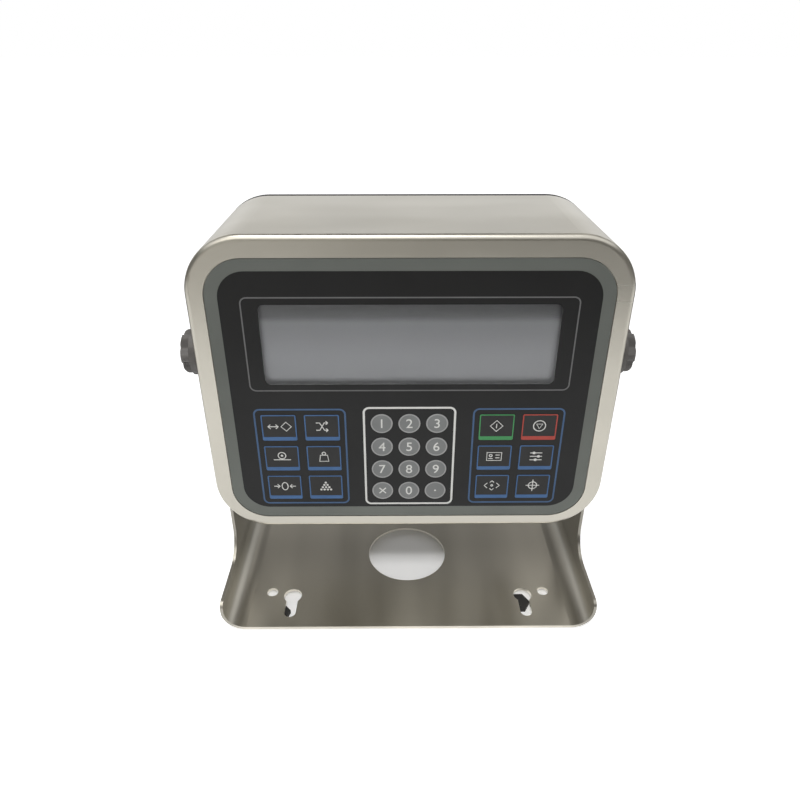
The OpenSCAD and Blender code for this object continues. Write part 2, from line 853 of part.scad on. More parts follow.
module transformer() {
    front_y = main_front_y - core_d;
    color("#5a4a35") {
        translate([core_x - core_w / 2, front_y, core_z - core_h / 2])
            cube([core_w, core_d, core_h]);
        translate([core_x, 0, core_z])
            rod_y(front_y - coil_bulge, front_y, coil_share * core_h / 2);
    }
}

module terminal_blocks() {
    color("seagreen") for (i = [0:3]) difference() {
        on_main((i - 1.5) * terminal_w * 1.3, terminal_h / 2 - main_board_h / 2 + board_t,
            terminal_w, terminal_h, terminal_d);
        for (k = [-1, 0, 1])
            translate([(i - 1.5) * terminal_w * 1.3 + k * terminal_w / 3,
                main_front_y - terminal_d / 2, main_z - main_board_h / 2 - overrun])
                cylinder(h = terminal_h, r = terminal_wire_r);
    }
}

// Flat cable that hangs in a half loop between the two headers
module ribbon_cable() {
    color("lightgray") across(ribbon_x - ribbon_w / 2, ribbon_x + ribbon_w / 2)
        translate([ribbon_y, header_z]) intersection() {
            difference() {
                circle(ribbon_r + ribbon_t / 2);
                circle(ribbon_r - ribbon_t / 2);
            }
            translate([-2 * ribbon_r, -4 * ribbon_r]) square(4 * ribbon_r);
        }
}

// Cable glands

module gland_bodies() {
    color("gray") at_glands() difference() {
        union() {
            rod_y(back_y - gland_barrel_l, back_y, gland_r);
            rod_y(back_y, gland_hex_y, gland_hex_r, 6);
            rod_y(gland_hex_y, gland_neck_y, gland_r);
        }
        rod_y(back_y - gland_barrel_l - overrun, gland_neck_y + overrun, gland_bore_r);
    }
}

module gland_locknuts() {
    color("gray") at_glands() difference() {
        rod_y(cover_in_y - gland_locknut_t, cover_in_y, gland_hex_r, 6);
        rod_y(cover_in_y - gland_locknut_t - overrun, cover_in_y + overrun, gland_r + fit_gap);
    }
}

module gland_nuts() {
    taper_y = gland_nut_y + gland_nut_hex_l;
    color("gray") at_glands() difference() {
        union() {
            rod_y(gland_nut_y, taper_y, gland_hex_r, 6);
            translate([0, taper_y, 0]) rotate([-90, 0, 0])
                cylinder(h = gland_end_y - taper_y, r1 = gland_dome_r, r2 = gland_bore_r + gland_nut_lip);
        }
        rod_y(gland_nut_y - overrun, gland_neck_y + soft_gap, gland_r + fit_gap);
        rod_y(gland_neck_y, gland_end_y + overrun, gland_mouth_r);
    }
}

module gland_seals() {
    color("black") at_glands() difference() {
        union() {
            rod_y(gland_seal_y, gland_seal_y + gland_seal_l, gland_bore_r - fit_gap);
            rod_y(gland_seal_y, gland_nose_y, gland_mouth_r - fit_gap);
        }
        rod_y(gland_seal_y - overrun, gland_nose_y + overrun, gland_cable_d / 2);
    }
}

module vent_plug() {
    color("black") translate([vent_x, 0, vent_z]) {
        rod_y(back_y - gland_barrel_l, back_y, vent_r);
        rod_y(back_y, back_y + vent_head_l / 2, vent_head_r, 6);
        rod_y(back_y + vent_head_l / 2, back_y + vent_head_l, vent_head_r * 0.75);
    }
}

tilt_bracket();
bracket_feet();
friction_washers();
pivot_inserts();
housing_shell();
rear_cover();
rear_gasket();
rear_screws();
keypad_overlay();
keypad_spacer();
keypad_circuit();
key_domes();
display_window();
display_bezel();
display_glass();
display_backlight();
display_board();
display_standoffs();
main_board();
main_standoffs();
board_screws();
board_parts();
transformer();
terminal_blocks();
ribbon_cable();
gland_bodies();
gland_nuts();
gland_locknuts();
gland_seals();
vent_plug();
clamp_washer(-1);  // left_washer
clamp_knob(-1);  // left_knob
clamp_stud(-1);  // left_stud
clamp_washer(1);  // right_washer
clamp_knob(1);  // right_knob
clamp_stud(1);  // right_stud
number_key(0);  // key_1
number_key(1);  // key_2
number_key(2);  // key_3
number_key(3);  // key_4
number_key(4);  // key_5
number_key(5);  // key_6
number_key(6);  // key_7
number_key(7);  // key_8
number_key(8);  // key_9
number_key(9);  // key_clear
number_key(10);  // key_0
number_key(11);  // key_point
function_key(-1, 0);  // key_tare
function_key(-1, 1);  // key_select
function_key(-1, 2);  // key_print
function_key(-1, 3);  // key_units
function_key(-1, 4);  // key_zero
function_key(-1, 5);  // key_sample
function_key(1, 0);  // key_start
function_key(1, 1);  // key_stop
function_key(1, 2);  // key_ident
function_key(1, 3);  // key_function
function_key(1, 4);  // key_setup
function_key(1, 5);  // key_target
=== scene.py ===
import math

import bpy
from mathutils import Matrix, Vector


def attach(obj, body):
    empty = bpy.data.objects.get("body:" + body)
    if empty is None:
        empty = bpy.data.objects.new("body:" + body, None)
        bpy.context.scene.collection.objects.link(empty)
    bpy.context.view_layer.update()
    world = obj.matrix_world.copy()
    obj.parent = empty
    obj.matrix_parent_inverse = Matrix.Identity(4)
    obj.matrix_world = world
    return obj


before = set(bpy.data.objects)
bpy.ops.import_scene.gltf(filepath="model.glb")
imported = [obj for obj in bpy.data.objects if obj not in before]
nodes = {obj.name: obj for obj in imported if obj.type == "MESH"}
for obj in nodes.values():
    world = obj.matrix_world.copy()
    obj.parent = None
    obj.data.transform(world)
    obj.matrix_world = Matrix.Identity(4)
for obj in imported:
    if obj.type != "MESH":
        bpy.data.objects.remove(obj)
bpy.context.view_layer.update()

MM = 0.001

# Camera, fitted to the photograph: place in mm, turns in degrees
FOCAL_PX = 658.51
IMAGE_PX = 800
SENSOR_MM = 36
CAMERA_PLACE = (-7.94, -398.1, 365.95)
CAMERA_PITCH = 29.13
CAMERA_YAW = 0.36
CLIP_START = 0.01

# Face, in mm from the middle of the housing
FACE_Z = 175
OVERLAY_FRONT = -52.7
KEY_FRONT = -52.9
PRINT_T = 0.06
STROKE_T = 0.05
FIELD_HALF_W = 106.8
FIELD_TOP = 78.4
FIELD_BOTTOM = -81.7
FIELD_R = 16
WINDOW_W = 170.6
WINDOW_H = 50
WINDOW_Z = 34.085
WINDOW_R = 3.5
DISPLAY_HALF_W = 95
DISPLAY_TOP = 63.7
DISPLAY_BOTTOM = 4.6
DISPLAY_R = 4
DISPLAY_LINE = 0.8
NUMBER_HALF_W = 28.45
NUMBER_TOP = -6.3
NUMBER_BOTTOM = -79.9
NUMBER_LINE = 1.3
SIDE_X = 66.8
SIDE_HALF_W = 28.15
SIDE_TOP = -7.4
SIDE_BOTTOM = -79
SIDE_LINE = 1.1
GROUP_R = 4

# Keys and what is printed on them, in mm
KEY_GAP = 0.12
NUMBER_KEY_R = 6.7
NUMBER_RING = 0.75
NUMBER_PITCH_X = 17
NUMBER_PITCH_Z = 16.9
NUMBER_FIRST_Z = -17.996
FUNCTION_W = 21.3
FUNCTION_H = 18.3
FUNCTION_R = 1
FUNCTION_INNER_R = 0.4
FUNCTION_PITCH_X = 26.4
FUNCTION_PITCH_Z = 22.5
FUNCTION_FIRST_Z = -20.846
FUNCTION_FRAME = 0.7
FUNCTION_BAR = 2.6
DIGIT_SIZE = 9
DIGIT_BOLDER = 0.025
CROSS_REACH = 2.1
CROSS_STROKE = 0.8
POINT_R = 0.6
ICON_STROKE = 0.62
ICON_RISE = 0.9
SAMPLE_ROWS = 4
SAMPLE_DOT = 0.75
SAMPLE_PITCH = 2.1
SAMPLE_ROW_SHARE = 0.87

LEFT_KEYS = ["key_tare", "key_select", "key_print", "key_units", "key_zero", "key_sample"]
RIGHT_KEYS = ["key_start", "key_stop", "key_ident", "key_function", "key_setup", "key_target"]
NUMBER_KEYS = ["key_1", "key_2", "key_3", "key_4", "key_5", "key_6", "key_7", "key_8", "key_9",
               "key_clear", "key_0", "key_point"]

# Rounding of sharp edges: width in mm for each piece, and the least angle rounded in degrees
SOFT_EDGES = {"tilt_bracket": 0.3, "rear_cover": 0.3, "gland_nuts": 0.3, "gland_bodies": 0.2,
              "rear_screws": 0.15, "vent_plug": 0.3, "bracket_feet": 0.3, "left_washer": 0.2,
              "right_washer": 0.2}
EDGE_SEGMENTS = 2
EDGE_ANGLE = 35

# Relief and wear of every finish: depth in metres, and how much finer the wear is than the clouds
BUMP_DEPTH = 0.00002
WEAR_FINER = 1.7

# Window sheet
WINDOW_TINT = (0.97, 0.975, 0.98)
WINDOW_GRAIN = 40
WINDOW_ROUGH = (0.05, 0.11)
WINDOW_IOR = 1.4

# Painted shade kept in finishes: start and end in metres, and the share of the colour left at the
# end
# Painted shadow of the window's top edge on the display, then painted shade that lightens it
# downwards
DISPLAY_EDGE_SHADE = (0.2205, 0.226, 0.45)
DISPLAY_UPPER_SHADE = (0.196, 0.222, 0.72)
# Painted shade that darkens the bracket's arms and flanges
ARM_SHADE = (0.112, 0.124, 0.55)
# Painted reflection: the rear of the bracket plate, which mirrors the housing's underside, darker
# than its front
BRACKET_REAR_SHADE = (-0.05, 0.015, 0.62)
# Painted reflection on the overlay and the black field: darker towards the top
OVERLAY_SHADE = (0.1, 0.2, 0.78)
FIELD_SHADE = (0.12, 0.24, 0.66)

# Floor and sky: light levels, and lengths in metres
FLOOR_HALF = 12
FLOOR_GREY = 0.82
SEEN_GLOW = 0.65
# Painted shade: the floor glows less under the bracket plate, and not at all under its rear half
UNDER_GLOW = 0.2
MIRRORED_GLOW = 0.3
PLATE_DEPTH_SHARE = 0.62
PLATE_EDGE = (0.06, 0.073)
UNDER_FADE = (0, 0.01)
WORLD_LEVEL = 0.5
WORLD_SEEN_LEVEL = 1

# Cards that only shiny surfaces see: two X, then the first and the last (Y, Z), in metres
CARD_LIFT = 0.002
FRONT_CARD = ((-3, 3), (-0.62, CARD_LIFT), (-3, CARD_LIFT))
FRONT_WALL = ((-3, 3), (-3, 0), (-3, 2.2))
HIGH_CARD = ((-2, 2), (1.4, 0.84), (0.7, 2.6))
REAR_CARD = ((-1.5, 1.5), (0.078, CARD_LIFT), (0.9, CARD_LIFT))
BRIGHT_CARD = ((-1.1, 0), (-1.15, 1.15), (-0.5, 1.65))
SIDE_CARD_X = 1.5
SIDE_CARD = ((-1.6, 0.05), (0.9, 0.05), (0.9, 1.1), (-1.6, 1.1))

# How those cards glow: light levels, and the places in metres between which a level changes
DULL = (0.9, 0.88, 0.84)
FRONT_LEVELS = (0.5, 0.17)
FRONT_SPAN = (-0.5, 0.5)
STRIPE_STRETCH = (1, 0.1, 0.1)
STRIPE_SCALE = 2.6
STRIPE_LEVELS = (0.06, 0.62)
STRIPE_SPAN = (0.42, 0.62)
REAR_LEVEL = 0.14
SIDE_LEVEL = 0.18
BRIGHT_LEVEL = 2


# Materials

def node(tree, kind, **values):
    made = tree.nodes.new(kind)
    for name, value in values.items():
        setattr(made, name, value)
    return made


def wire(tree, start, end):
    tree.links.new(start, end)


def empty_tree(owner):
    """The emptied node tree of a material or a world."""
    owner.use_nodes = True
    owner.node_tree.nodes.clear()
    return owner.node_tree


def first_node(tree, kind):
    return [n for n in tree.nodes if n.type == kind][0]


def maths(tree, operation, *sources):
    made = node(tree, "ShaderNodeMath", operation=operation)
    for source, target in zip(sources, made.inputs):
        wire(tree, source, target)
    return made


def object_axis(tree, axis):
    """The object's own place along an axis, in metres."""
    place = node(tree, "ShaderNodeTexCoord")
    parts = node(tree, "ShaderNodeSeparateXYZ")
    wire(tree, place.outputs["Object"], parts.inputs[0])
    return parts.outputs[axis]


def noise(tree, stretch, scale, detail, rough=0.55):
    """A noise over the object's own place, drawn out along the axes with a small stretch."""
    place = node(tree, "ShaderNodeTexCoord")
    mapping = node(tree, "ShaderNodeMapping")
    mapping.inputs["Scale"].default_value = stretch
    made = node(tree, "ShaderNodeTexNoise")
    made.inputs["Scale"].default_value = scale
    made.inputs["Detail"].default_value = detail
    made.inputs["Roughness"].default_value = rough
    wire(tree, place.outputs["Object"], mapping.inputs["Vector"])
    wire(tree, mapping.outputs["Vector"], made.inputs["Vector"])
    return made.outputs["Fac"]


def ranged(tree, source, low, high, start=0.25, end=0.75):
    """Leads a value smoothly from low at the start to high at the end."""
    made = node(tree, "ShaderNodeMapRange", interpolation_type="SMOOTHSTEP")
    made.inputs["From Min"].default_value = start
    made.inputs["From Max"].default_value = end
    made.inputs["To Min"].default_value = low
    made.inputs["To Max"].default_value = high
    wire(tree, source, made.inputs["Value"])
    return made.outputs["Result"]


def blend_colours(tree, factor, a, b):
    made = node(tree, "ShaderNodeMix", data_type="RGBA")
    wire(tree, factor, made.inputs["Factor"])
    for socket, colour in (("A", a), ("B", b)):
        target = [i for i in made.inputs if i.name == socket and i.type == "RGBA"][0]
        target.default_value = (*colour, 1)
    return [o for o in made.outputs if o.type == "RGBA"][0]


def shade(colour, amount):
    return tuple(min(1, c * amount) for c in colour)


def surface(name, colour, rough, metal=0.0, vary=0.12, cloud=18, cloud_stretch=(1, 1, 1),
            rough_vary=0.08, fine=900, fine_stretch=(1, 1, 1), fine_detail=3, bump=0.15,
            specular=0.5, coat=0.0):
    """A finish with clouding in its colour, a changing roughness and a fine grain in its relief."""
    made = bpy.data.materials.new(name)
    tree = empty_tree(made)
    out = node(tree, "ShaderNodeOutputMaterial")
    shader = node(tree, "ShaderNodeBsdfPrincipled")
    wire(tree, shader.outputs["BSDF"], out.inputs["Surface"])
    shader.inputs["Metallic"].default_value = metal
    shader.inputs["Specular IOR Level"].default_value = specular
    shader.inputs["Coat Weight"].default_value = coat
    clouds = noise(tree, cloud_stretch, cloud, detail=2)
    shown = blend_colours(tree, ranged(tree, clouds, 0, 1), shade(colour, 1 - vary),
                          shade(colour, 1 + vary))
    wire(tree, shown, shader.inputs["Base Color"])
    grain = noise(tree, fine_stretch, fine, detail=fine_detail)
    worn = noise(tree, cloud_stretch, cloud * WEAR_FINER, detail=2, rough=0.5)
    wire(tree, ranged(tree, worn, rough - rough_vary, rough + rough_vary),
         shader.inputs["Roughness"])
    relief = node(tree, "ShaderNodeBump")
    relief.inputs["Strength"].default_value = bump
    relief.inputs["Distance"].default_value = BUMP_DEPTH
    wire(tree, grain, relief.inputs["Height"])
    wire(tree, relief.outputs["Normal"], shader.inputs["Normal"])
    return made


def ink(name, colour, rough=0.45, vary=0.06):
    return surface(name, colour, rough, vary=vary, cloud=60, fine=2600)


def clear_window():
    """A clear sheet: what lies behind shows through it, and its two faces mirror a little."""
    made = bpy.data.materials.new("window_clear")
    tree = empty_tree(made)
    out = node(tree, "ShaderNodeOutputMaterial")
    through = node(tree, "ShaderNodeBsdfTransparent")
    through.inputs["Color"].default_value = (*WINDOW_TINT, 1)
    mirror = node(tree, "ShaderNodeBsdfGlossy")
    mirror.inputs["Color"].default_value = (1, 1, 1, 1)
    grain = noise(tree, (1, 1, 1), WINDOW_GRAIN, detail=4)
    wire(tree, ranged(tree, grain, *WINDOW_ROUGH), mirror.inputs["Roughness"])
    share = node(tree, "ShaderNodeFresnel")
    share.inputs["IOR"].default_value = WINDOW_IOR
    mix = node(tree, "ShaderNodeMixShader")
    wire(tree, share.outputs["Fac"], mix.inputs["Fac"])
    wire(tree, through.outputs["BSDF"], mix.inputs[1])
    wire(tree, mirror.outputs["BSDF"], mix.inputs[2])
    wire(tree, mix.outputs["Shader"], out.inputs["Surface"])
    return made


def shadowed(finish, start, end, share, axis="Z", both_sides=False):
    """Paints shade into a finish: darkens its colour between two places in metres along an axis."""
    tree = finish.node_tree
    shader = first_node(tree, "BSDF_PRINCIPLED")
    plain = shader.inputs["Base Color"].links[0].from_socket
    along = object_axis(tree, axis)
    if both_sides:
        along = maths(tree, "ABSOLUTE", along).outputs[0]
    dim = node(tree, "ShaderNodeVectorMath", operation="SCALE")
    wire(tree, plain, dim.inputs[0])
    wire(tree, ranged(tree, along, 1, share, start, end), dim.inputs["Scale"])
    wire(tree, dim.outputs[0], shader.inputs["Base Color"])


finishes = {
    "brushed_stainless": surface(
        "brushed_stainless", (0.60, 0.575, 0.505), 0.3, metal=1, vary=0.04, cloud=9,
        cloud_stretch=(0.5, 1.3, 1.3), rough_vary=0.04, fine=700, fine_stretch=(0.02, 1, 1),
        fine_detail=0, bump=0.25),
    "bright_steel": surface("bright_steel", (0.62, 0.61, 0.58), 0.24, metal=1, vary=0.06,
                            cloud=160),
    "rubber_black": surface("rubber_black", (0.018, 0.018, 0.018), 0.75, fine=2500, bump=0.3),
    "rubber_foot": surface("rubber_foot", (0.022, 0.021, 0.02), 0.7, fine=2200, bump=0.3),
    "washer_fibre": surface("washer_fibre", (0.05, 0.04, 0.035), 0.8, fine=1800, bump=0.4),
    "overlay_print": surface(
        "overlay_print", (0.157, 0.168, 0.151), 0.4, vary=0.05, cloud=22, rough_vary=0.05,
        fine=2600, bump=0.12, specular=0.3),
    "key_grey": surface(
        "key_grey", (0.205, 0.211, 0.209), 0.4, vary=0.06, cloud=60, fine=2600, bump=0.12,
        specular=0.3),
    "key_dark": surface(
        "key_dark", (0.024, 0.024, 0.024), 0.42, vary=0.08, cloud=60, fine=2600, bump=0.12,
        specular=0.3),
    "spacer_film": surface("spacer_film", (0.6, 0.58, 0.5), 0.5),
    "circuit_film": surface("circuit_film", (0.5, 0.42, 0.2), 0.35, coat=0.5),
    "display_grey": surface("display_grey", (0.54, 0.543, 0.555), 0.3, vary=0.03, cloud=9,
                            rough_vary=0.03, bump=0),
    "light_guide": surface("light_guide", (0.75, 0.75, 0.72), 0.3),
    "black_plastic": surface(
        "black_plastic", (0.097, 0.091, 0.086), 0.38, vary=0.15, cloud=90, fine=1900, bump=0.3),
    "board_green": surface("board_green", (0.02, 0.13, 0.05), 0.35, coat=0.4, cloud=120),
    "chip_black": surface("chip_black", (0.02, 0.02, 0.02), 0.5),
    "transformer_iron": surface("transformer_iron", (0.12, 0.1, 0.09), 0.6,
                                fine_stretch=(0.1, 1, 1)),
    "terminal_green": surface("terminal_green", (0.05, 0.26, 0.1), 0.4),
    "ribbon_grey": surface("ribbon_grey", (0.35, 0.35, 0.36), 0.5),
    "gland_grey": surface("gland_grey", (0.23, 0.235, 0.24), 0.45, fine=1700, bump=0.25),
    "window_clear": clear_window(),
}
# The bracket's colour is set light for the front of the plate; painted reflection and shade darken
# its rear and its arms
bracket_steel = surface(
    "bracket_stainless", (0.77, 0.735, 0.645), 0.31, metal=1, vary=0.12, cloud=11,
    cloud_stretch=(1.8, 0.25, 0.4), rough_vary=0.04, fine=700, fine_stretch=(1, 0.02, 0.1),
    fine_detail=0, bump=0.25)
field_black = surface("field_black", (0.0135, 0.0135, 0.0135), 0.4, vary=0.08, cloud=22,
                      rough_vary=0.05, fine=2600, bump=0.12, specular=0.28)
ink_white = ink("ink_white", (0.7, 0.7, 0.67), vary=0.04)
ink_grey = ink("ink_grey", (0.12, 0.12, 0.12))
ink_blue = ink("ink_blue", (0.045, 0.125, 0.29))
ink_line_blue = ink("ink_line_blue", (0.04, 0.095, 0.2))
ink_green = ink("ink_green", (0.045, 0.27, 0.085))
ink_red = ink("ink_red", (0.42, 0.05, 0.035))
ink_ring = ink("ink_ring", (0.36, 0.36, 0.355), rough=0.42, vary=0.05)

# Pieces whose look differs from the rest of their slot
own_finishes = {
    "tilt_bracket": bracket_steel,
    "display_bezel": surface("bezel_grey", (0.26, 0.26, 0.265), 0.42, cloud=60),
}

# Painted shadow, shade and reflection, kept in the colours of the finishes
shadowed(finishes["display_grey"], *DISPLAY_EDGE_SHADE)
shadowed(finishes["display_grey"], *DISPLAY_UPPER_SHADE)
shadowed(bracket_steel, *ARM_SHADE, axis="X", both_sides=True)
shadowed(bracket_steel, *BRACKET_REAR_SHADE, axis="Y")
shadowed(finishes["overlay_print"], *OVERLAY_SHADE)
shadowed(field_black, *FIELD_SHADE)


def paint(obj, finish):
    obj.data.materials.clear()
    obj.data.materials.append(finish)


for name, obj in nodes.items():
    cad_slot = obj.data.materials[0].name.split(".")[0]
    paint(obj, own_finishes.get(name, finishes[cad_slot]))


def soften(obj, width):
    """Rounds a piece's sharp edges a little, so that they catch the light."""
    bevel = obj.modifiers.new("edges", "BEVEL")
    bevel.width = width * MM
    bevel.segments = EDGE_SEGMENTS
    bevel.limit_method = "ANGLE"
    bevel.angle_limit = math.radians(EDGE_ANGLE)
    bevel.harden_normals = True


for name, width in SOFT_EDGES.items():
    soften(nodes[name], width)


# Outlines in the plane of the face, in mm

def rounded(cx, cz, half_w, half_h, r, steps=10):
    """Outline of a rounded rectangle."""
    made = []
    for sx, sz, first in ((1, 1, 0), (-1, 1, 90), (-1, -1, 180), (1, -1, 270)):
        for i in range(steps + 1):
            a = math.radians(first + 90 * i / steps)
            made.append((cx + sx * (half_w - r) + r * math.cos(a),
                         cz + sz * (half_h - r) + r * math.sin(a)))
    return made


def ring_points(cx, cz, r, steps=48):
    return [(cx + r * math.cos(2 * math.pi * i / steps), cz + r * math.sin(2 * math.pi * i / steps))
            for i in range(steps)]


def circle(cx, cz, r, steps=32):
    return True, ring_points(cx, cz, r, steps)


def line(*points):
    return False, list(points)


def loop(*points):
    return True, list(points)


# Flat pieces on the face

def curve_data(name, dimensions, lines):
    """A curve with one spline for each (closed, points)."""
    data = bpy.data.curves.new(name, "CURVE")
    data.dimensions = dimensions
    for closed, points in lines:
        spline = data.splines.new("POLY")
        spline.points.add(len(points) - 1)
        for point, (x, z) in zip(spline.points, points):
            point.co = (x, z, 0, 1)
        spline.use_cyclic_u = closed
    return data


def flat_mesh(name, data):
    """The mesh of a curve or a text, lying flat and in mm."""
    curve = bpy.data.objects.new(name + "_curve", data)
    bpy.context.scene.collection.objects.link(curve)
    bpy.context.view_layer.update()
    depsgraph = bpy.context.evaluated_depsgraph_get()
    mesh = bpy.data.meshes.new_from_object(curve.evaluated_get(depsgraph))
    bpy.data.objects.remove(curve)
    mesh.name = name
    return mesh


def stand_up(name, mesh, middle, finish, body):
    """Stands a flat mesh on the face, its middle at the given Y, and lets it ride on a body."""
    turn = Matrix.Rotation(math.radians(90), 4, "X")
    place = Matrix.Translation((0, middle * MM, FACE_Z * MM))
    mesh.transform(place @ turn @ Matrix.Scale(MM, 4))
    obj = bpy.data.objects.new(name, mesh)
    bpy.context.scene.collection.objects.link(obj)
    paint(obj, finish)
    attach(obj, body)


def plate(name, outlines, front, thick, finish, body):
    """A thin flat piece: the first outline is its edge and the others are holes in it."""
    data = curve_data(name, "2D", [loop(*outline) for outline in outlines])
    data.fill_mode = "BOTH"
    data.extrude = thick / 2
    stand_up(name, flat_mesh(name, data), front + thick / 2, finish, body)


def strokes(name, lines, width, front, finish, body):
    """Printed lines, each drawn as a flattened bead of ink half sunk in the face."""
    data = curve_data(name, "3D", lines)
    data.bevel_depth = width / 2
    data.bevel_resolution = 3
    data.use_fill_caps = True
    mesh = flat_mesh(name, data)
    mesh.transform(Matrix.Diagonal((1, 1, 2 * STROKE_T / width, 1)))
    for polygon in mesh.polygons:
        polygon.use_smooth = True
    stand_up(name, mesh, front, finish, body)


def lettering(name, text, size, cx, cz, front, finish, body):
    """One digit, centred on its key by its own outline."""
    data = bpy.data.curves.new(name, "FONT")
    data.body = text
    data.size = size
    data.extrude = PRINT_T / 2
    data.offset = DIGIT_BOLDER
    mesh = flat_mesh(name, data)
    xs = [v.co.x for v in mesh.vertices]
    ys = [v.co.y for v in mesh.vertices]
    mesh.transform(Matrix.Translation((cx - (min(xs) + max(xs)) / 2,
                                       cz - (min(ys) + max(ys)) / 2, 0)))
    stand_up(name, mesh, front + PRINT_T / 2, finish, body)


def number_place(i):
    return (i % 3 - 1) * NUMBER_PITCH_X, NUMBER_FIRST_Z - i // 3 * NUMBER_PITCH_Z


def function_place(side, i):
    return (side * SIDE_X + (i % 2 - 0.5) * FUNCTION_PITCH_X,
            FUNCTION_FIRST_Z - i // 2 * FUNCTION_PITCH_Z)


key_cuts = [ring_points(*number_place(i), NUMBER_KEY_R + KEY_GAP) for i in range(len(NUMBER_KEYS))]
key_cuts += [rounded(*function_place(side, i), FUNCTION_W / 2 + KEY_GAP, FUNCTION_H / 2 + KEY_GAP,
                     FUNCTION_R + KEY_GAP, steps=5)
             for side, keys in ((-1, LEFT_KEYS), (1, RIGHT_KEYS)) for i in range(len(keys))]
field_front = OVERLAY_FRONT - PRINT_T
plate("overlay_field",
      [rounded(0, (FIELD_TOP + FIELD_BOTTOM) / 2, FIELD_HALF_W, (FIELD_TOP - FIELD_BOTTOM) / 2,
               FIELD_R),
       rounded(0, WINDOW_Z, WINDOW_W / 2, WINDOW_H / 2, WINDOW_R), *key_cuts],
      field_front, PRINT_T, field_black, "housing")


def frame_line(name, cx, half_w, top, bottom, r, width, finish):
    """A printed outline: a thin frame on the black field."""
    cz, half_h = (top + bottom) / 2, (top - bottom) / 2
    plate(name, [rounded(cx, cz, half_w, half_h, r),
                 rounded(cx, cz, half_w - width, half_h - width, r - width)],
          field_front - STROKE_T, STROKE_T, finish, "housing")


frame_line("display_outline", 0, DISPLAY_HALF_W, DISPLAY_TOP, DISPLAY_BOTTOM, DISPLAY_R,
           DISPLAY_LINE, ink_grey)
frame_line("number_group_outline", 0, NUMBER_HALF_W, NUMBER_TOP, NUMBER_BOTTOM, GROUP_R,
           NUMBER_LINE, ink_white)
for side, label in ((-1, "left"), (1, "right")):
    frame_line(label + "_group_outline", side * SIDE_X, SIDE_HALF_W, SIDE_TOP, SIDE_BOTTOM,
               GROUP_R, SIDE_LINE, ink_line_blue)

for i, name in enumerate(NUMBER_KEYS):
    x, z = number_place(i)
    body = name + "_cap"
    plate(name + "_ring", [ring_points(x, z, NUMBER_KEY_R),
                           ring_points(x, z, NUMBER_KEY_R - NUMBER_RING)],
          KEY_FRONT - STROKE_T, STROKE_T, ink_ring, body)
    if name == "key_clear":
        left, right = x - CROSS_REACH, x + CROSS_REACH
        low, high = z - CROSS_REACH, z + CROSS_REACH
        strokes(name + "_cross",
                [line((left, low), (right, high)), line((left, high), (right, low))],
                CROSS_STROKE, KEY_FRONT, ink_white, body)
    elif name == "key_point":
        plate(name + "_dot", [ring_points(x, z, POINT_R, steps=20)], KEY_FRONT - PRINT_T, PRINT_T,
              ink_white, body)
    else:
        lettering(name + "_digit", name[-1], DIGIT_SIZE, x, z, KEY_FRONT - PRINT_T, ink_white, body)

# Pictograms, in mm from the middle of each. The sample key's heap of dots is made further down.
ICON_LINES = {
    "key_tare": [loop((1.2, 0), (4.4, 3.2), (7.6, 0), (4.4, -3.2)), line((-6.8, 0), (-0.4, 0)),
                 line((-5.2, 1.5), (-6.8, 0), (-5.2, -1.5)),
                 line((-2, 1.5), (-0.4, 0), (-2, -1.5))],
    "key_select": [line((-3.6, 2.6), (-1.4, 2.6), (1.4, -2.6), (3.6, -2.6)),
                   line((-3.6, -2.6), (-1.4, -2.6), (1.4, 2.6), (3.6, 2.6)),
                   line((2.4, -1.4), (3.6, -2.6), (2.4, -3.8)),
                   line((2.4, 3.8), (3.6, 2.6), (2.4, 1.4))],
    "key_print": [circle(0, 1.2, 2.4), circle(0, 1.2, 0.5, 12), line((-5.4, -1.9), (5.4, -1.9))],
    "key_units": [loop((-2.9, -3.2), (2.9, -3.2), (2.2, 1.4), (-2.2, 1.4)),
                  circle(0, 2.6, 1.1, 20)],
    "key_zero": [loop(*[(1.9 * c / 2.9, s) for c, s in ring_points(0, 0, 2.9)]),
                 line((-7, 0), (-3.2, 0)), line((-4.7, 1.5), (-3.2, 0), (-4.7, -1.5)),
                 line((7, 0), (3.2, 0)), line((4.7, 1.5), (3.2, 0), (4.7, -1.5))],
    "key_start": [loop((-3.9, 0), (0, 3.9), (3.9, 0), (0, -3.9)), line((0, 1.6), (0, -1.6))],
    "key_stop": [circle(0, 0, 3.7), loop((-1.9, 1.3), (1.9, 1.3), (0, -2))],
    "key_ident": [loop((-4.6, 3), (4.6, 3), (4.6, -3), (-4.6, -3)), circle(-2.2, 0.7, 0.9, 16),
                  line((-3.6, -1.5), (-0.8, -1.5)), line((0.8, 1.1), (3.4, 1.1)),
                  line((0.8, -1), (3.4, -1))],
    "key_function": [line((-3.8, 2.6), (3.8, 2.6)), line((-3.8, 0), (3.8, 0)),
                     line((-3.8, -2.6), (3.8, -2.6)), circle(-1.4, 2.6, 0.7, 14),
                     circle(1.6, 0, 0.7, 14), circle(-0.2, -2.6, 0.7, 14)],
    "key_setup": [line((-2.9, 2), (-4.9, 0), (-2.9, -2)), line((2.9, 2), (4.9, 0), (2.9, -2)),
                  line((-1.3, 2.4), (0, 3.7), (1.3, 2.4)),
                  line((-1.3, -2.4), (0, -3.7), (1.3, -2.4)), circle(0, 0, 0.6, 14)],
    "key_target": [circle(0, 0, 2.7), line((-4.4, 0), (4.4, 0)), line((0, 4.4), (0, -4.4))],
}

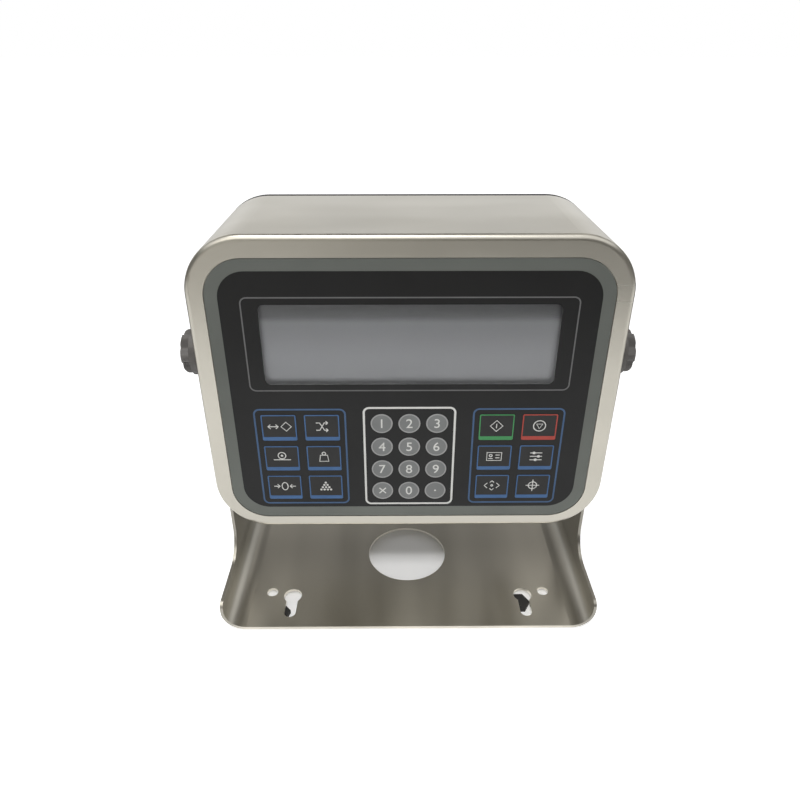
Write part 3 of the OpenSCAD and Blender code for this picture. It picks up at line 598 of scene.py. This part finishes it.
for side, keys in ((-1, LEFT_KEYS), (1, RIGHT_KEYS)):
    for i, name in enumerate(keys):
        x, z = function_place(side, i)
        body = name + "_cap"
        colour = {"key_start": ink_green, "key_stop": ink_red}.get(name, ink_blue)
        half_w, half_h = FUNCTION_W / 2, FUNCTION_H / 2
        edge = rounded(x, z, half_w, half_h, FUNCTION_R, steps=5)
        inner = rounded(x, z + (FUNCTION_BAR - FUNCTION_FRAME) / 2, half_w - FUNCTION_FRAME,
                        half_h - (FUNCTION_BAR + FUNCTION_FRAME) / 2, FUNCTION_INNER_R, steps=4)
        plate(name + "_frame", [edge, inner], KEY_FRONT - STROKE_T, STROKE_T, colour, body)
        if name == "key_sample":
            for row in range(SAMPLE_ROWS):
                rise = ((SAMPLE_ROWS - 1) / 2 - row) * SAMPLE_PITCH * SAMPLE_ROW_SHARE
                for k in range(row + 1):
                    dot = ring_points(x + (k - row / 2) * SAMPLE_PITCH, z + ICON_RISE + rise,
                                      SAMPLE_DOT, steps=14)
                    plate(f"{name}_dot_{row}_{k}", [dot], KEY_FRONT - STROKE_T, STROKE_T, ink_white,
                          body)
        else:
            moved = [(closed, [(x + px, z + ICON_RISE + pz) for px, pz in points])
                     for closed, points in ICON_LINES[name]]
            strokes(name + "_icon", moved, ICON_STROKE, KEY_FRONT, ink_white, body)


# Studio

def emission(name, colour, strength=1):
    made = bpy.data.materials.new(name)
    tree = empty_tree(made)
    out = node(tree, "ShaderNodeOutputMaterial")
    glow = node(tree, "ShaderNodeEmission")
    glow.inputs["Color"].default_value = (*colour, 1)
    glow.inputs["Strength"].default_value = strength
    wire(tree, glow.outputs["Emission"], out.inputs["Surface"])
    return made


def glow_strength(finish):
    return first_node(finish.node_tree, "EMISSION").inputs["Strength"]


def graded(name, colour, levels, axis, span):
    """A finish that glows from one level to another between two places in metres along an axis."""
    made = emission(name, colour)
    tree = made.node_tree
    wire(tree, ranged(tree, object_axis(tree, axis), *levels, *span), glow_strength(made))
    return made


def striped(name, colour):
    """A finish that glows in soft upright stripes, which the base plate mirrors."""
    made = emission(name, colour)
    tree = made.node_tree
    stripes = noise(tree, STRIPE_STRETCH, STRIPE_SCALE, detail=2)
    wire(tree, ranged(tree, stripes, *STRIPE_LEVELS, *STRIPE_SPAN), glow_strength(made))
    return made


def seen_or_mirrored(tree):
    """1 for what the camera, a mirror or a glass sees, and 0 for what lights the object."""
    path = node(tree, "ShaderNodeLightPath")
    seen = maths(tree, "MAXIMUM", path.outputs["Is Camera Ray"], path.outputs["Is Glossy Ray"])
    return maths(tree, "MAXIMUM", seen.outputs[0], path.outputs["Is Transmission Ray"]).outputs[0]


def glowing_floor():
    """A matt floor that glows towards the camera and mirrors. Painted shade: towards the camera it
    glows less under the plate, and not at all under the plate's rear half.
    """
    made = bpy.data.materials.new("floor")
    tree = empty_tree(made)
    out = node(tree, "ShaderNodeOutputMaterial")
    matt = node(tree, "ShaderNodeBsdfDiffuse")
    matt.inputs["Color"].default_value = (FLOOR_GREY, FLOOR_GREY, FLOOR_GREY, 1)
    glow = node(tree, "ShaderNodeEmission")
    glow.inputs["Color"].default_value = (1, 1, 1, 1)
    across = maths(tree, "ABSOLUTE", object_axis(tree, "X"))
    across_share = maths(tree, "MULTIPLY", across.outputs[0])
    across_share.inputs[1].default_value = PLATE_DEPTH_SHARE
    along = maths(tree, "ABSOLUTE", object_axis(tree, "Y"))
    reach = maths(tree, "MAXIMUM", across_share.outputs[0], along.outputs[0])
    # Painted shade under the plate, deepest under its rear half
    around = ranged(tree, reach.outputs[0], UNDER_GLOW, SEEN_GLOW, *PLATE_EDGE)
    under = ranged(tree, object_axis(tree, "Y"), UNDER_GLOW, 0, *UNDER_FADE)
    wire(tree, under, around.node.inputs["To Min"])
    path = node(tree, "ShaderNodeLightPath")
    level = node(tree, "ShaderNodeMapRange")
    level.inputs["To Min"].default_value = MIRRORED_GLOW
    wire(tree, around, level.inputs["To Max"])
    wire(tree, path.outputs["Is Camera Ray"], level.inputs["Value"])
    strength = maths(tree, "MULTIPLY", level.outputs["Result"], seen_or_mirrored(tree))
    wire(tree, strength.outputs[0], glow.inputs["Strength"])
    both = node(tree, "ShaderNodeAddShader")
    wire(tree, matt.outputs["BSDF"], both.inputs[0])
    wire(tree, glow.outputs["Emission"], both.inputs[1])
    wire(tree, both.outputs["Shader"], out.inputs["Surface"])
    return made


def white_world():
    """A white surround that is brighter to look at than it lights."""
    world = bpy.data.worlds.new("studio")
    bpy.context.scene.world = world
    tree = empty_tree(world)
    out = node(tree, "ShaderNodeOutputWorld")
    sky = node(tree, "ShaderNodeBackground")
    sky.inputs["Color"].default_value = (1, 1, 1, 1)
    level = node(tree, "ShaderNodeMapRange")
    level.inputs["To Min"].default_value = WORLD_LEVEL
    level.inputs["To Max"].default_value = WORLD_SEEN_LEVEL
    wire(tree, seen_or_mirrored(tree), level.inputs["Value"])
    wire(tree, level.outputs["Result"], sky.inputs["Strength"])
    wire(tree, sky.outputs["Background"], out.inputs["Surface"])


def card(name, corners, finish):
    mesh = bpy.data.meshes.new(name)
    mesh.from_pydata(corners, [], [tuple(range(len(corners)))])
    obj = bpy.data.objects.new(name, mesh)
    bpy.context.scene.collection.objects.link(obj)
    obj.data.materials.append(finish)
    return obj


def quad(xs, first, last):
    """Corners of a card between two X, from one (Y, Z) to another."""
    return [(xs[0], *first), (xs[1], *first), (xs[1], *last), (xs[0], *last)]


def mirrored_card(name, corners, finish):
    """A card kept out of the picture: only shiny surfaces see it."""
    obj = card(name, corners, finish)
    obj.visible_camera = False
    obj.visible_diffuse = False
    obj.visible_shadow = False
    obj.visible_transmission = False
    obj.visible_volume_scatter = False


def lamp(name, place, target, size, power):
    data = bpy.data.lights.new(name, "AREA")
    data.shape = "RECTANGLE"
    data.size, data.size_y = size
    data.energy = power
    obj = bpy.data.objects.new(name, data)
    obj.location = place
    obj.rotation_euler = (Vector(target) - Vector(place)).to_track_quat("-Z", "Y").to_euler()
    bpy.context.scene.collection.objects.link(obj)
    return obj


card("floor", quad((-FLOOR_HALF, FLOOR_HALF), (-FLOOR_HALF, 0), (FLOOR_HALF, 0)), glowing_floor())
white_world()

dark = graded("front_dark", (1, 0.97, 0.92), FRONT_LEVELS, "X", FRONT_SPAN)
mirrored_card("front_card", quad(*FRONT_CARD), dark)
mirrored_card("front_wall", quad(*FRONT_WALL), dark)
mirrored_card("high_card", quad(*HIGH_CARD), striped("high_dark", (0.9, 0.87, 0.82)))
mirrored_card("rear_card", quad(*REAR_CARD), emission("rear_dark", DULL, REAR_LEVEL))
side_dark = emission("side_dark", DULL, SIDE_LEVEL)
for name, x in (("side_card_left", -SIDE_CARD_X), ("side_card_right", SIDE_CARD_X)):
    mirrored_card(name, [(x, *place) for place in SIDE_CARD], side_dark)
mirrored_card("bright_card", quad(*BRIGHT_CARD), emission("bright", (1, 0.98, 0.93), BRIGHT_LEVEL))

lamp("overhead", place=(-0.15, -0.15, 1.4), target=(-0.05, -0.05, 0.1), size=(0.9, 0.5), power=4)
key_lamp = lamp("key", place=(-0.1, -0.95, 1.5), target=(0, 0, 0.15), size=(0.16, 0.16), power=9)
key_lamp.visible_glossy = False

camera_data = bpy.data.cameras.new("camera")
camera_data.sensor_width = SENSOR_MM
camera_data.lens = FOCAL_PX / IMAGE_PX * SENSOR_MM
camera_data.clip_start = CLIP_START
camera = bpy.data.objects.new("camera", camera_data)
camera.location = Vector(CAMERA_PLACE) * MM
pitch, yaw = math.radians(CAMERA_PITCH), math.radians(CAMERA_YAW)
ahead = Vector((math.sin(yaw) * math.cos(pitch), math.cos(yaw) * math.cos(pitch), -math.sin(pitch)))
camera.rotation_euler = ahead.to_track_quat("-Z", "Y").to_euler()
bpy.context.scene.collection.objects.link(camera)
bpy.context.scene.camera = camera
bpy.context.scene.view_settings.view_transform = "Standard"
